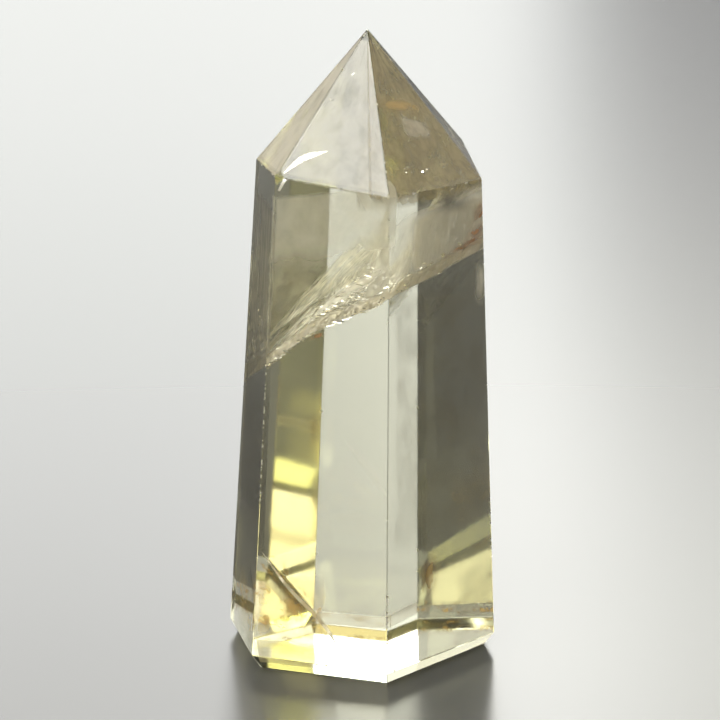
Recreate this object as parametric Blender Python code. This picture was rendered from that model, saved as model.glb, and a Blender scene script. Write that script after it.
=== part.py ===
"""A polished quartz tower: a tapered six-sided prism with a six-faced tip and a bevelled foot.

The stone is shaped as a lapidary shapes it. It starts as a rough block, and each facet takes off what lies
outside one plane. Every facet is worked out from the driving dimensions below, in metres and degrees.
"""

import math

import bmesh
import bpy
from mathutils import Vector
from mathutils.geometry import intersect_plane_plane, intersect_line_plane

NODE_NAME = "crystal_point"

# The tip, in plan, stands a little off the middle of the foot.
HEIGHT = 0.080
TIP_X = 0.0004
TIP_Y = -0.0006

# One row for each side face, going round from the left: the compass direction it looks in, counted from +X
# towards +Y, how far it leans back from upright, and how far it stands from the axis at the foot.
SIDE_FACES = (
    (-168.3, 3.2, 0.01634),
    (-105.9, 0.9, 0.01475),
    (-45.2, 0.2, 0.01299),
    (9.9, 1.9, 0.01526),
    (74.1, 3.5, 0.01477),
    (134.1, 4.3, 0.01420),
)

# Height of each shoulder corner. Corner 0 lies between the last side face and the first.
SHOULDER_HEIGHTS = (0.06330, 0.06485, 0.06340, 0.06205, 0.06315, 0.06495)

# The bevel round the foot: its height at each corner, and how far it takes each side face in at the base.
BEVEL_HEIGHTS = (0.00163, 0.00272, 0.00223, 0.00183, 0.00177, 0.00161)
BEVEL_INSETS = (0.00142, 0.00249, 0.00151, 0.00112, 0.00065, 0.00072)

# The knocked-off corner at the left shoulder: which corner, the way the break looks, and its depth.
CHIPPED_SHOULDER = 1
CHIP_COMPASS = -128.0
CHIP_RISE = 24.0
CHIP_DEPTH = 0.0004

ROUGH_BLOCK_SIZE = 0.2
MERGE_DISTANCE = 0.000001
PLANE_TOLERANCE = 0.0000001

CITRINE_COLOUR = (0.93, 0.89, 0.62, 1.0)
CITRINE_ROUGHNESS = 0.03
QUARTZ_IOR = 1.55


def clear_scene():
    """Remove every object that the file opens with."""
    for old in list(bpy.data.objects):
        bpy.data.objects.remove(old, do_unlink=True)


def direction(compass_deg, rise_deg):
    """Return the unit vector that looks along a compass direction and rises above level."""
    compass = math.radians(compass_deg)
    rise = math.radians(rise_deg)
    level = math.cos(rise)
    return Vector((level * math.cos(compass), level * math.sin(compass), math.sin(rise)))


def side_plane(face):
    """Return a side face's plane as a point at the foot and an outward normal."""
    compass_deg, lean_deg, distance = face
    return direction(compass_deg, 0.0) * distance, direction(compass_deg, lean_deg)


def corner_at(number, height):
    """Return the point at a height on the edge between side faces number - 1 and number."""
    point_a, normal_a = side_plane(SIDE_FACES[number - 1])
    point_b, normal_b = side_plane(SIDE_FACES[number])
    on_edge, along = intersect_plane_plane(point_a, normal_a, point_b, normal_b)
    level = Vector((0.0, 0.0, height))
    return intersect_line_plane(on_edge, on_edge + along, level, Vector((0.0, 0.0, 1.0)))


def plane_through(first, second, third):
    """Return the plane through three points, with its normal turned away from the middle of the stone."""
    normal = (second - first).cross(third - first).normalized()
    middle = Vector((0.0, 0.0, HEIGHT / 2))
    if normal.dot(first - middle) < 0.0:
        normal.negate()
    return first, normal


def tip_plane(number):
    """Return the plane of the tip face that rises from side face number."""
    after = (number + 1) % len(SIDE_FACES)
    return plane_through(
        Vector((TIP_X, TIP_Y, HEIGHT)),
        corner_at(number, SHOULDER_HEIGHTS[number]),
        corner_at(after, SHOULDER_HEIGHTS[after]),
    )


def bevel_plane(number):
    """Return the plane of the bevel below side face number."""
    after = (number + 1) % len(SIDE_FACES)
    compass_deg, _, distance = SIDE_FACES[number]
    return plane_through(
        direction(compass_deg, 0.0) * (distance - BEVEL_INSETS[number]),
        corner_at(number, BEVEL_HEIGHTS[number]),
        corner_at(after, BEVEL_HEIGHTS[after]),
    )


def chip_plane():
    """Return the plane of the break at the chipped shoulder."""
    shoulder = corner_at(CHIPPED_SHOULDER, SHOULDER_HEIGHTS[CHIPPED_SHOULDER])
    outward = direction(CHIP_COMPASS, CHIP_RISE)
    return shoulder - outward * CHIP_DEPTH, outward


def facet_planes():
    """Return the plane of every facet, as pairs of a point and an outward normal."""
    faces = range(len(SIDE_FACES))
    base = (Vector((0.0, 0.0, 0.0)), Vector((0.0, 0.0, -1.0)))
    planes = [side_plane(face) for face in SIDE_FACES]
    planes += [tip_plane(number) for number in faces]
    planes += [bevel_plane(number) for number in faces]
    return planes + [base, chip_plane()]


def cut_facet(body, point, normal):
    """Take off what lies outside a plane and close the cut with one flat face."""
    everything = body.verts[:] + body.edges[:] + body.faces[:]
    cut = bmesh.ops.bisect_plane(
        body, geom=everything, dist=PLANE_TOLERANCE, plane_co=point, plane_no=normal, clear_outer=True
    )
    rim = [piece for piece in cut["geom_cut"] if isinstance(piece, bmesh.types.BMEdge)]
    bmesh.ops.contextual_create(body, geom=rim)


def shape_stone():
    """Return a closed mesh of the stone, cut from a rough block."""
    body = bmesh.new()
    bmesh.ops.create_cube(body, size=ROUGH_BLOCK_SIZE)
    for point, normal in facet_planes():
        cut_facet(body, point, normal)
    bmesh.ops.remove_doubles(body, verts=body.verts[:], dist=MERGE_DISTANCE)
    bmesh.ops.recalc_face_normals(body, faces=body.faces[:])
    mesh = bpy.data.meshes.new(NODE_NAME)
    body.to_mesh(mesh)
    body.free()
    return mesh


def citrine_material():
    """Return the clear, pale yellow stone's material."""
    material = bpy.data.materials.new("citrine")
    material.use_nodes = True
    shader = material.node_tree.nodes["Principled BSDF"]
    shader.inputs["Base Color"].default_value = CITRINE_COLOUR
    shader.inputs["Roughness"].default_value = CITRINE_ROUGHNESS
    shader.inputs["IOR"].default_value = QUARTZ_IOR
    shader.inputs["Transmission Weight"].default_value = 1.0
    material.diffuse_color = CITRINE_COLOUR
    return material


def build():
    """Build the stone, standing on its base at the origin."""
    clear_scene()
    stone = bpy.data.objects.new(NODE_NAME, shape_stone())
    stone.data.materials.append(citrine_material())
    bpy.context.scene.collection.objects.link(stone)


build()
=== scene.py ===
"""Looks of a polished citrine tower: clear stone, rounded edges, healed fracture, stains and studio.

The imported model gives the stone's faces. Every class below makes one sub-assembly in metres, in the same
frame, and dresses it. Places inside the stone are written in millimetres and turned into metres where used.
"""

import logging
import math
import random
from collections.abc import Sequence
from dataclasses import dataclass, field, replace
from enum import Enum

import bmesh
import bpy
from mathutils import Matrix, Vector, noise

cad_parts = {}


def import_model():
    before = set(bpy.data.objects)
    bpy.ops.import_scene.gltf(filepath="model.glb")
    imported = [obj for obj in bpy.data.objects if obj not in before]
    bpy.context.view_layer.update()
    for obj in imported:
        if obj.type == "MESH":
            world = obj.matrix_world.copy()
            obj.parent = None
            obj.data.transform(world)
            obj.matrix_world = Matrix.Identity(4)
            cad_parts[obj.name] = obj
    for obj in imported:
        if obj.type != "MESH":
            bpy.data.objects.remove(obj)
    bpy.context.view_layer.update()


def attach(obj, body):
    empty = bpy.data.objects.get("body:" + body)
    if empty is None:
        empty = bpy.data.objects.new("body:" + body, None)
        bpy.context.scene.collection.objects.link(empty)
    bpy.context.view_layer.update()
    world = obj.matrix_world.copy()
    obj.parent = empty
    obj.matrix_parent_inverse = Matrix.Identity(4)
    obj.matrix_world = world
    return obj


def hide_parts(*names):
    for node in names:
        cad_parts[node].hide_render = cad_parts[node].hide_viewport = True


LOG = logging.getLogger("citrine_tower")
CRYSTAL_NODE = "crystal_point"
BODY = "root"
MILLIMETRE = 0.001
WAVE_SEED = 7

# Attributes that the meshes carry: how much of a sheet is there, where flakes gather, and a chip's size.
COVER = "cover"
CORE = "core"
GRAIN = "grain"
CHIP_SIZE = "chip_size"

# A patch's own grid, and how far its borders fade as a share of its width and height.
PATCH_CELLS = 16
PATCH_FADE = 0.45
PATCH_MIDDLE = 0.5

Colour = tuple[float, float, float]
Place = tuple[float, float, float]


class Facing(Enum):
    """The ways in which bright flaws look, by where they lie or the face that they are seen through."""

    MIDDLE = (-0.05, -0.84, 0.53)
    FRONT = (-0.14, -0.85, 0.51)
    FRONT_RIGHT = (0.06, -0.85, 0.52)
    MILK = (0.10, -0.84, 0.53)
    RIM = (0.05, -0.85, 0.52)
    SHOULDER = (-0.15, -0.80, 0.57)
    SIDE = (-0.46, -0.74, 0.48)
    TIP_LEFT = (-0.15, -0.77, 0.62)
    TIP_RIGHT = (0.10, -0.77, 0.63)


class Hue(Enum):
    """The colours of what lies inside the stone, and of the sheets that paint shade on its sides and
    refracted yellow light in its tip.
    """

    CREAM = (0.98, 0.95, 0.86)
    CHAMPAGNE = (0.97, 0.91, 0.75)
    STRAW = (0.90, 0.78, 0.52)
    BEIGE = (0.74, 0.62, 0.42)
    PALE_GREY = (0.95, 0.93, 0.90)
    WARM_GREY = (0.84, 0.79, 0.70)
    OLIVE = (0.66, 0.56, 0.32)
    DEEP_OLIVE = (0.30, 0.23, 0.11)
    AMBER = (1.00, 0.76, 0.28)
    HONEY = (0.95, 0.60, 0.16)
    OCHRE = (0.72, 0.44, 0.12)
    BROWN = (0.38, 0.24, 0.11)
    RUST = (0.82, 0.40, 0.15)
    DARK_RUST = (0.52, 0.22, 0.08)
    SMOKE = (0.16, 0.15, 0.14)
    SHADE = (0.06, 0.05, 0.04)


class Step(Enum):
    """The steps of arithmetic that the node trees take: the node's type and its operation."""

    ADD = ("ShaderNodeMath", "ADD")
    MULTIPLY = ("ShaderNodeMath", "MULTIPLY")
    ADD_VECTORS = ("ShaderNodeVectorMath", "ADD")
    SUBTRACT_VECTORS = ("ShaderNodeVectorMath", "SUBTRACT")
    MULTIPLY_VECTORS = ("ShaderNodeVectorMath", "MULTIPLY")
    SCALE = ("ShaderNodeVectorMath", "SCALE")
    NORMALIZE = ("ShaderNodeVectorMath", "NORMALIZE")


def rgba(colour: Colour) -> tuple[float, float, float, float]:
    """Return a colour with full alpha."""
    return (*colour, 1.0)


def metres(place_mm: Place) -> Vector:
    """Return a place given in millimetres as a vector in metres."""
    return Vector(place_mm) * MILLIMETRE


def link(name: str, mesh: bpy.types.Mesh) -> bpy.types.Object:
    """Put a mesh in the scene under a name.

    Args:
        name: The new object's name.
        mesh: The mesh, with its place in its vertices.

    Returns:
        The new object, at the origin.
    """
    made = bpy.data.objects.new(name, mesh)
    bpy.context.scene.collection.objects.link(made)
    return made


def dress(piece: bpy.types.Object) -> bpy.types.Object:
    """Let a piece ride with the stone.

    Args:
        piece: A finished piece inside the stone.

    Returns:
        The same piece.
    """
    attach(piece, BODY)
    return piece


class NodeBuilder:
    """Adds nodes to a material or group tree and feeds their inputs."""

    def __init__(self, tree: bpy.types.NodeTree) -> None:
        """Keep the tree that is built on."""
        self.tree = tree

    def feed(self, slot: bpy.types.NodeSocket, given: object) -> None:
        """Wire an output to an input, or give the input a value of its own."""
        if isinstance(given, bpy.types.NodeSocket):
            self.tree.links.new(given, slot)
        else:
            slot.default_value = given

    def give(self, node: bpy.types.Node, **inputs: object) -> bpy.types.Node:
        """Feed several inputs of a node.

        Args:
            node: The node.
            **inputs: Values or outputs by input name, with underscores for spaces.

        Returns:
            The same node.
        """
        for name, given in inputs.items():
            self.feed(node.inputs[name.replace("_", " ")], given)
        return node

    def add(self, kind: str, settings: dict[str, object] | None = None, **inputs: object) -> bpy.types.Node:
        """Add a node, set it up and feed its inputs.

        Args:
            kind: The node's type name.
            settings: The node's own settings, which decide what its inputs are.
            **inputs: Values or outputs by input name, with underscores for spaces.

        Returns:
            The new node.
        """
        node = self.tree.nodes.new(kind)
        for name, value in (settings or {}).items():
            setattr(node, name, value)
        return self.give(node, **inputs)

    def work_out(self, step: Step, first: object, second: object = None) -> bpy.types.NodeSocket:
        """Add one step of arithmetic.

        Args:
            step: What is worked out.
            first: The first value or output.
            second: The second one, if the step takes two.

        Returns:
            The result.
        """
        kind, operation = step.value
        node = self.add(kind, {"operation": operation})
        self.feed(node.inputs[0], first)
        if second is not None:
            self.feed(node.inputs["Scale" if step is Step.SCALE else 1], second)
        return node.outputs[0]

    def mix(self, share: object, first: bpy.types.Node, second: bpy.types.Node) -> bpy.types.Node:
        """Mix two shaders.

        Args:
            share: The second shader's share, as a value or an output.
            first: The first shader.
            second: The second shader.

        Returns:
            The mixed shader.
        """
        mixed = self.add("ShaderNodeMixShader", Fac=share)
        self.feed(mixed.inputs[1], first.outputs[0])
        self.feed(mixed.inputs[2], second.outputs[0])
        return mixed

    def sockets(self, inputs: dict[str, str], outputs: dict[str, str]) -> bpy.types.NodeOutputs:
        """Give a group tree its named inputs and outputs.

        Args:
            inputs: Each input's kind by its name.
            outputs: Each output's kind by its name.

        Returns:
            What the tree is given, by input name.
        """
        for way, named in (("INPUT", inputs), ("OUTPUT", outputs)):
            for name, kind in named.items():
                self.tree.interface.new_socket(name, in_out=way, socket_type="NodeSocket" + kind)
        return self.add("NodeGroupInput").outputs

    def put_out(self, name: str, instances: bpy.types.NodeSocket, finish: bpy.types.NodeSocket) -> None:
        """Make instances real, give them their finish and put them out.

        Args:
            name: The tree's output.
            instances: The instances.
            finish: Their material.
        """
        real = self.add("GeometryNodeRealizeInstances", Geometry=instances)
        dressed = self.add("GeometryNodeSetMaterial", Geometry=real.outputs["Geometry"], Material=finish)
        self.add("NodeGroupOutput", **{name: dressed.outputs["Geometry"]})


def start_material(name: str, **inputs: object) -> tuple[bpy.types.Material, NodeBuilder, bpy.types.Node]:
    """Start a material on its Principled shader.

    Args:
        name: The material's name.
        **inputs: The shader's values by input name, with underscores for spaces.

    Returns:
        The material, a builder on its tree, and its Principled shader.
    """
    material = bpy.data.materials.new(name)
    material.use_nodes = True
    nodes = NodeBuilder(material.node_tree)
    return material, nodes, nodes.give(material.node_tree.nodes["Principled BSDF"], **inputs)


@dataclass(frozen=True)
class Polish:
    """The stone's hand polish: slight hollows, fine scratches and a patchy gloss."""

    hollow_scale: float = 150.0
    hollow_depth: float = 0.000012
    scratch_scale: float = 900.0
    scratch_depth: float = 0.000001
    scratch_stretch: Place = (1.0, 1.0, 0.12)
    gloss_scale: float = 90.0
    dullest_at: float = 0.7
    glossiest_at: float = 0.3

    def dress(self, nodes: NodeBuilder, shader: bpy.types.Node, smoothest: float, roughest: float) -> None:
        """Wire the polish to a shader.

        Args:
            nodes: Builds in the shader's tree.
            shader: The shader to dress.
            smoothest: The lowest roughness.
            roughest: The highest roughness.
        """
        place = nodes.add("ShaderNodeTexCoord").outputs["Object"]
        gloss = nodes.add("ShaderNodeTexNoise", Vector=place, Scale=self.gloss_scale, Detail=4.0)
        span = nodes.add(
            "ShaderNodeMapRange", Value=gloss.outputs["Fac"], From_Min=self.glossiest_at,
            From_Max=self.dullest_at, To_Min=smoothest, To_Max=roughest,
        )
        stretched = nodes.work_out(Step.MULTIPLY_VECTORS, place, self.scratch_stretch)
        scratches = nodes.add(
            "ShaderNodeTexNoise", Vector=stretched, Scale=self.scratch_scale, Detail=3.0, Distortion=1.5
        )
        fine = nodes.add(
            "ShaderNodeBump", Height=scratches.outputs["Fac"], Strength=1.0, Distance=self.scratch_depth
        )
        hollows = nodes.add("ShaderNodeTexNoise", Vector=place, Scale=self.hollow_scale, Detail=1.0)
        broad = nodes.add(
            "ShaderNodeBump", Height=hollows.outputs["Fac"], Normal=fine.outputs["Normal"], Strength=1.0,
            Distance=self.hollow_depth,
        )
        nodes.give(shader, Roughness=span.outputs["Result"], Normal=broad.outputs["Normal"])


@dataclass(frozen=True)
class ClearStone:
    """The clear, pale yellow quartz: glass that takes out more blue than red over its depth."""

    name: str = "citrine"
    surface: Colour = (1.0, 1.0, 1.0)
    clarity: float = 1.0
    refraction: float = 1.55
    smoothest: float = 0.03
    roughest: float = 0.08
    absorbed: Colour = (0.8125, 0.80, 0.0)
    density: float = 8.0

    def build(self) -> bpy.types.Material:
        """Build the material.

        Returns:
            A see-through material with absorption in its depth.
        """
        material, nodes, shader = start_material(
            self.name, Base_Color=rgba(self.surface), IOR=self.refraction, Transmission_Weight=self.clarity
        )
        Polish().dress(nodes, shader, self.smoothest, self.roughest)
        depth = nodes.add("ShaderNodeVolumeAbsorption", Color=rgba(self.absorbed), Density=self.density)
        nodes.give(nodes.tree.nodes["Material Output"], Volume=depth.outputs["Volume"])
        return material


@dataclass(frozen=True)
class Wear:
    """One run of small chips along a facet edge, between two places."""

    start: Place
    end: Place
    count: int
    smallest: float
    largest: float


@dataclass
class EdgeWear:
    """The small shell-shaped chips along the stone's edges, cut by scattered rough pebbles."""

    name: str = "edge_chips"
    everywhere_per_mm: float = 0.12
    everywhere_sizes: tuple[float, float] = (0.00007, 0.00018)
    edge_shares: tuple[float, float] = (0.04, 0.96)
    stand_off_share: float = 0.45
    slimmest: Place = (0.7, 0.7, 0.8)
    stoutest: Place = (1.2, 1.2, 1.9)
    turns: Place = (0.7, 0.7, math.tau)
    runs: tuple[Wear, ...] = (
        Wear((-13.0, -11.2, 23.0), (-12.1, -11.2, 40.0), 40, 0.00007, 0.00019),
        Wear((2.45, -15.9, 4.5), (2.5, -15.8, 12.5), 26, 0.00008, 0.00024),
        Wear((-13.2, 0.4, 63.3), (-10.7, -11.2, 64.9), 14, 0.00008, 0.00022),
        Wear((-10.7, -11.2, 64.9), (0.4, -0.6, 80.0), 12, 0.00007, 0.00016),
        Wear((-13.2, 0.4, 63.3), (0.4, -0.6, 80.0), 14, 0.00008, 0.00022),
        Wear((14.2, -3.9, 60.0), (14.5, -3.6, 48.0), 10, 0.00008, 0.00022),
        Wear((15.2, -3.1, 20.0), (15.5, -2.8, 12.0), 8, 0.00008, 0.00022),
        Wear((10.0, -8.0, 62.5), (14.1, -4.0, 62.0), 5, 0.00008, 0.00018),
    )
    seed: int = 11

    def points(self, edges: Sequence[tuple[Vector, Vector]]) -> bpy.types.Mesh:
        """Put one point for each chip on the edges.

        Args:
            edges: The facet edges' ends, in metres.

        Returns:
            A mesh of loose points with a size attribute.
        """
        dice = random.Random(self.seed)
        spots = []
        for start, end in edges:
            for _ in range(round((end - start).length / MILLIMETRE * self.everywhere_per_mm)):
                spot = start.lerp(end, dice.uniform(*self.edge_shares))
                spots.append((spot, dice.uniform(*self.everywhere_sizes)))
        for run in self.runs:
            for _ in range(run.count):
                spot = metres(run.start).lerp(metres(run.end), dice.random())
                spots.append((spot, dice.uniform(run.smallest, run.largest)))
        mesh = bpy.data.meshes.new(self.name)
        mesh.from_pydata([spot + self.stand_off(spot, size) for spot, size in spots], [], [])
        sizes = mesh.attributes.new(CHIP_SIZE, "FLOAT", "POINT")
        sizes.data.foreach_set("value", [size for _, size in spots])
        return mesh

    def stand_off(self, spot: Vector, size: float) -> Vector:
        """Return how far out of the stone a pebble's middle stands, so that it only nicks the edge."""
        away = Vector((spot.x, spot.y, 0.0)).normalized()
        return away * size * self.stand_off_share

    def tree(self) -> bpy.types.NodeTree:
        """Build the tree that puts a rough pebble on every point.

        Returns:
            A Geometry Nodes tree.
        """
        nodes = NodeBuilder(bpy.data.node_groups.new(self.name, "GeometryNodeTree"))
        given = nodes.sockets(
            {"Points": "Geometry", "Seed": "Int", "Finish": "Material"}, {"Pebbles": "Geometry"}
        )
        pebble = nodes.add("GeometryNodeMeshIcoSphere", Radius=1.0, Subdivisions=2)
        size = nodes.add("GeometryNodeInputNamedAttribute", {"data_type": "FLOAT"}, Name=CHIP_SIZE)
        drawn = {"data_type": "FLOAT_VECTOR"}
        stretch = nodes.add(
            "FunctionNodeRandomValue", drawn, Min=self.slimmest, Max=self.stoutest, Seed=given["Seed"]
        )
        turn = nodes.add("FunctionNodeRandomValue", drawn, Max=self.turns, Seed=given["Seed"])
        rotation = nodes.add("FunctionNodeEulerToRotation", Euler=turn.outputs["Value"])
        placed = nodes.add(
            "GeometryNodeInstanceOnPoints",
            Points=given["Points"],
            Instance=pebble.outputs["Mesh"],
            Rotation=rotation.outputs["Rotation"],
            Scale=nodes.work_out(Step.SCALE, stretch.outputs["Value"], size.outputs["Attribute"]),
        )
        nodes.put_out("Pebbles", placed.outputs["Instances"], given["Finish"])
        return nodes.tree

    def cut(
        self, stone: bpy.types.Object, edges: Sequence[tuple[Vector, Vector]], finish: bpy.types.Material
    ) -> None:
        """Cut the chips out of the stone.

        Args:
            stone: The stone, whose mesh is replaced by the chipped one.
            edges: Its facet edges' ends.
            finish: The broken surface's material.
        """
        values = {"Seed": self.seed, "Finish": finish}
        pebbles = link(self.name, grown(self.name, self.points(edges), self.tree(), values))
        modifier = stone.modifiers.new(self.name, "BOOLEAN")
        modifier.operation = "DIFFERENCE"
        modifier.solver = "EXACT"
        modifier.use_self = True
        modifier.material_mode = "TRANSFER"
        modifier.object = pebbles
        graph = bpy.context.evaluated_depsgraph_get()
        chipped = bpy.data.meshes.new_from_object(stone.evaluated_get(graph), depsgraph=graph)
        stone.modifiers.remove(modifier)
        stone.data = chipped
        bpy.data.objects.remove(pebbles)


@dataclass
class Stone:
    """The tower itself, with its facet edges rounded by polishing and chipped by use."""

    name: str = "citrine_stone"
    edge_round: float = 0.00009
    edge_segments: int = 3
    merge_distance: float = 0.000001
    flat_angle_deg: float = 0.2
    finish: ClearStone = ClearStone()
    broken: ClearStone = ClearStone("citrine_broken", Hue.CREAM.value, 0.6, smoothest=0.3, roughest=0.55)
    wear: EdgeWear = field(default_factory=EdgeWear)

    def faceted(self) -> bmesh.types.BMesh:
        """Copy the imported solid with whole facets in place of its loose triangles.

        Returns:
            The editable copy.
        """
        body = bmesh.new()
        body.from_mesh(bpy.data.objects[CRYSTAL_NODE].data)
        bmesh.ops.remove_doubles(body, verts=body.verts[:], dist=self.merge_distance)
        bmesh.ops.dissolve_limit(
            body,
            angle_limit=math.radians(self.flat_angle_deg),
            verts=body.verts[:],
            edges=body.edges[:],
        )
        return body

    def build(self) -> bpy.types.Object:
        """Build and dress the stone.

        Returns:
            The finished piece.
        """
        body = self.faceted()
        edges = [(edge.verts[0].co.copy(), edge.verts[1].co.copy()) for edge in body.edges]
        bmesh.ops.bevel(
            body,
            geom=body.edges[:],
            offset=self.edge_round,
            segments=self.edge_segments,
            profile=0.5,
            affect="EDGES",
            clamp_overlap=True,
        )
        for facet in body.faces:
            facet.smooth = False
        mesh = bpy.data.meshes.new(self.name)
        body.to_mesh(mesh)
        body.free()
        mesh.materials.append(self.finish.build())
        piece = link(self.name, mesh)
        self.wear.cut(piece, edges, self.broken.build())
        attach(piece, BODY)
        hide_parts(CRYSTAL_NODE)
        return piece


@dataclass
class StoneShape:
    """The room inside the stone, which everything in it is trimmed to."""

    margin: float = 0.00012
    merge_distance: float = 0.0000005

    def planes(self) -> list[tuple[Vector, Vector]]:
        """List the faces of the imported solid.

        Returns:
            A point and an outward normal for each face.
        """
        mesh = bpy.data.objects[CRYSTAL_NODE].data
        return [(mesh.vertices[face.vertices[0]].co.copy(), face.normal.copy()) for face in mesh.polygons]

    def trim(self, body: bmesh.types.BMesh) -> None:
        """Cut away what reaches past the stone's faces, less a small margin.

        Args:
            body: The open sheet to trim, changed in place.
        """
        for point, normal in self.planes():
            bmesh.ops.bisect_plane(
                body,
                geom=body.verts[:] + body.edges[:] + body.faces[:],
                dist=self.merge_distance,
                plane_co=point - normal * self.margin,
                plane_no=normal,
                clear_outer=True,
            )


def along(places: Sequence[Place], share: float) -> Vector:
    """Read a place from a smooth curve through several places.

    Args:
        places: The curve's own places, in millimetres.
        share: How far along the curve, from 0 to 1.

    Returns:
        The place at that share, in metres.
    """
    last = len(places) - 1
    spot = min(max(share, 0.0), 1.0) * last
    index = min(int(spot), last - 1)
    part = spot - index
    near = [metres(places[min(max(index + step, 0), last)]) for step in (-1, 0, 1, 2)]
    bend = (near[2] - near[0]) * part
    bend += (near[0] * 2.0 - near[1] * 5.0 + near[2] * 4.0 - near[3]) * part**2
    bend += (near[1] * 3.0 - near[0] - near[2] * 3.0 + near[3]) * part**3
    return near[1] + bend * 0.5


def smooth_step(low: float, high: float, value: float) -> float:
    """Return 0 below low, 1 above high and a soft rise between."""
    share = min(max((value - low) / (high - low), 0.0), 1.0)
    return share * share * (3.0 - 2.0 * share)


@dataclass(frozen=True)
class Sheet:
    """An open, wavy surface inside the stone, ruled from a lower edge to an upper one.

    Its UV map holds millimetres along the lower edge and up the rulings. Its cover attribute says how much of
    the sheet is there, from 0 at its borders to 1, and its core attribute how closely flakes gather.
    """

    name: str
    foot: tuple[Place, ...]
    head: tuple[Place, ...]
    columns: int = 60
    rows: int = 40
    wave_height: float = 0.35
    wave_size: float = 3.0
    side_fade: float = 0.12
    far_fade: float | None = None
    foot_fade: float = 0.02
    head_fade: float = 0.6
    core_across: float = 0.42
    core_up: float = 0.2
    core_reach: float = 0.26
    core_floor: float = 0.06
    wave_rise: float = 0.1
    seed: float = 0.0

    @classmethod
    def patch(cls, name: str, centre: Place, right: Place, rise: Place, **sizes: float) -> "Sheet":
        """Describe a small patch that fades out all round.

        Args:
            name: The patch's name.
            centre: Its middle, in millimetres.
            right: From its middle to its right side, in millimetres.
            rise: From its middle to its upper side, in millimetres.
            **sizes: Other sizes of the sheet.

        Returns:
            The patch.
        """
        corners = {
            (side, end): tuple(c + side * r + end * u for c, r, u in zip(centre, right, rise))
            for side in (-1, 1)
            for end in (-1, 1)
        }
        given = dict.fromkeys(("columns", "rows"), PATCH_CELLS)
        given.update(dict.fromkeys(("side_fade", "foot_fade", "head_fade"), PATCH_FADE))
        given.update(dict.fromkeys(("core_across", "core_up"), PATCH_MIDDLE), **sizes)
        return cls(name, (corners[-1, -1], corners[1, -1]), (corners[-1, 1], corners[1, 1]), **given)

    def cover_at(self, across: float, up: float) -> float:
        """Return how much of the sheet is there at a share across it and up it."""
        far = self.side_fade if self.far_fade is None else self.far_fade
        sides = smooth_step(0.0, self.side_fade, across) * smooth_step(0.0, far, 1.0 - across)
        return sides * smooth_step(0.0, self.foot_fade, up) * smooth_step(0.0, self.head_fade, 1.0 - up)

    def core_at(self, across: float, up: float) -> float:
        """Return how closely flakes gather at a share across the sheet and up it."""
        sideways = (across - self.core_across) / self.core_reach
        upwards = (up - self.core_up) / self.core_reach
        return math.exp(-(sideways**2 + upwards**2)) + self.core_floor * self.cover_at(across, up)

    def place_at(self, across: float, up: float) -> Vector:
        """Return the place at a share across the sheet and up it, in metres."""
        flat = along(self.foot, across).lerp(along(self.head, across), up)
        shift = noise.noise_vector(flat / (self.wave_size * MILLIMETRE) + Vector((0.0, 0.0, self.seed)))
        return flat + shift * self.wave_height * MILLIMETRE * smooth_step(0.0, self.wave_rise, up)

    def build(self) -> bpy.types.Mesh:
        """Build the sheet, trimmed to the stone.

        Returns:
            The mesh with its UV map and its two attributes.
        """
        body = bmesh.new()
        cover = body.verts.layers.float.new(COVER)
        core = body.verts.layers.float.new(CORE)
        grain = body.loops.layers.uv.new(GRAIN)
        width = (metres(self.foot[-1]) - metres(self.foot[0])).length / MILLIMETRE
        length = (metres(self.head[0]) - metres(self.foot[0])).length / MILLIMETRE
        spots = {}
        for row in range(self.rows + 1):
            for column in range(self.columns + 1):
                across, up = column / self.columns, row / self.rows
                vert = body.verts.new(self.place_at(across, up))
                vert[cover] = self.cover_at(across, up)
                vert[core] = self.core_at(across, up)
                spots[row, column] = vert
        for row in range(self.rows):
            for column in range(self.columns):
                corners = ((row, column), (row, column + 1), (row + 1, column + 1), (row + 1, column))
                face = body.faces.new([spots[corner] for corner in corners])
                face.smooth = True
                for loop, (up, across) in zip(face.loops, corners):
                    loop[grain].uv = (across / self.columns * width, up / self.rows * length)
        StoneShape().trim(body)
        mesh = bpy.data.meshes.new(self.name)
        body.to_mesh(mesh)
        body.free()
        return mesh


class SharedGroup:
    """A shader node group that is built once, for every finish that reads it."""

    NAME = ""

    @classmethod
    def get(cls) -> bpy.types.NodeTree:
        """Return the group, building it the first time."""
        tree = bpy.data.node_groups.get(cls.NAME)
        if tree is None:
            tree = bpy.data.node_groups.new(cls.NAME, "ShaderNodeTree")
            cls.fill(NodeBuilder(tree))
        return tree

    @classmethod
    def fill(cls, nodes: NodeBuilder) -> None:
        """Build the group's nodes."""
        raise NotImplementedError


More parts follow.
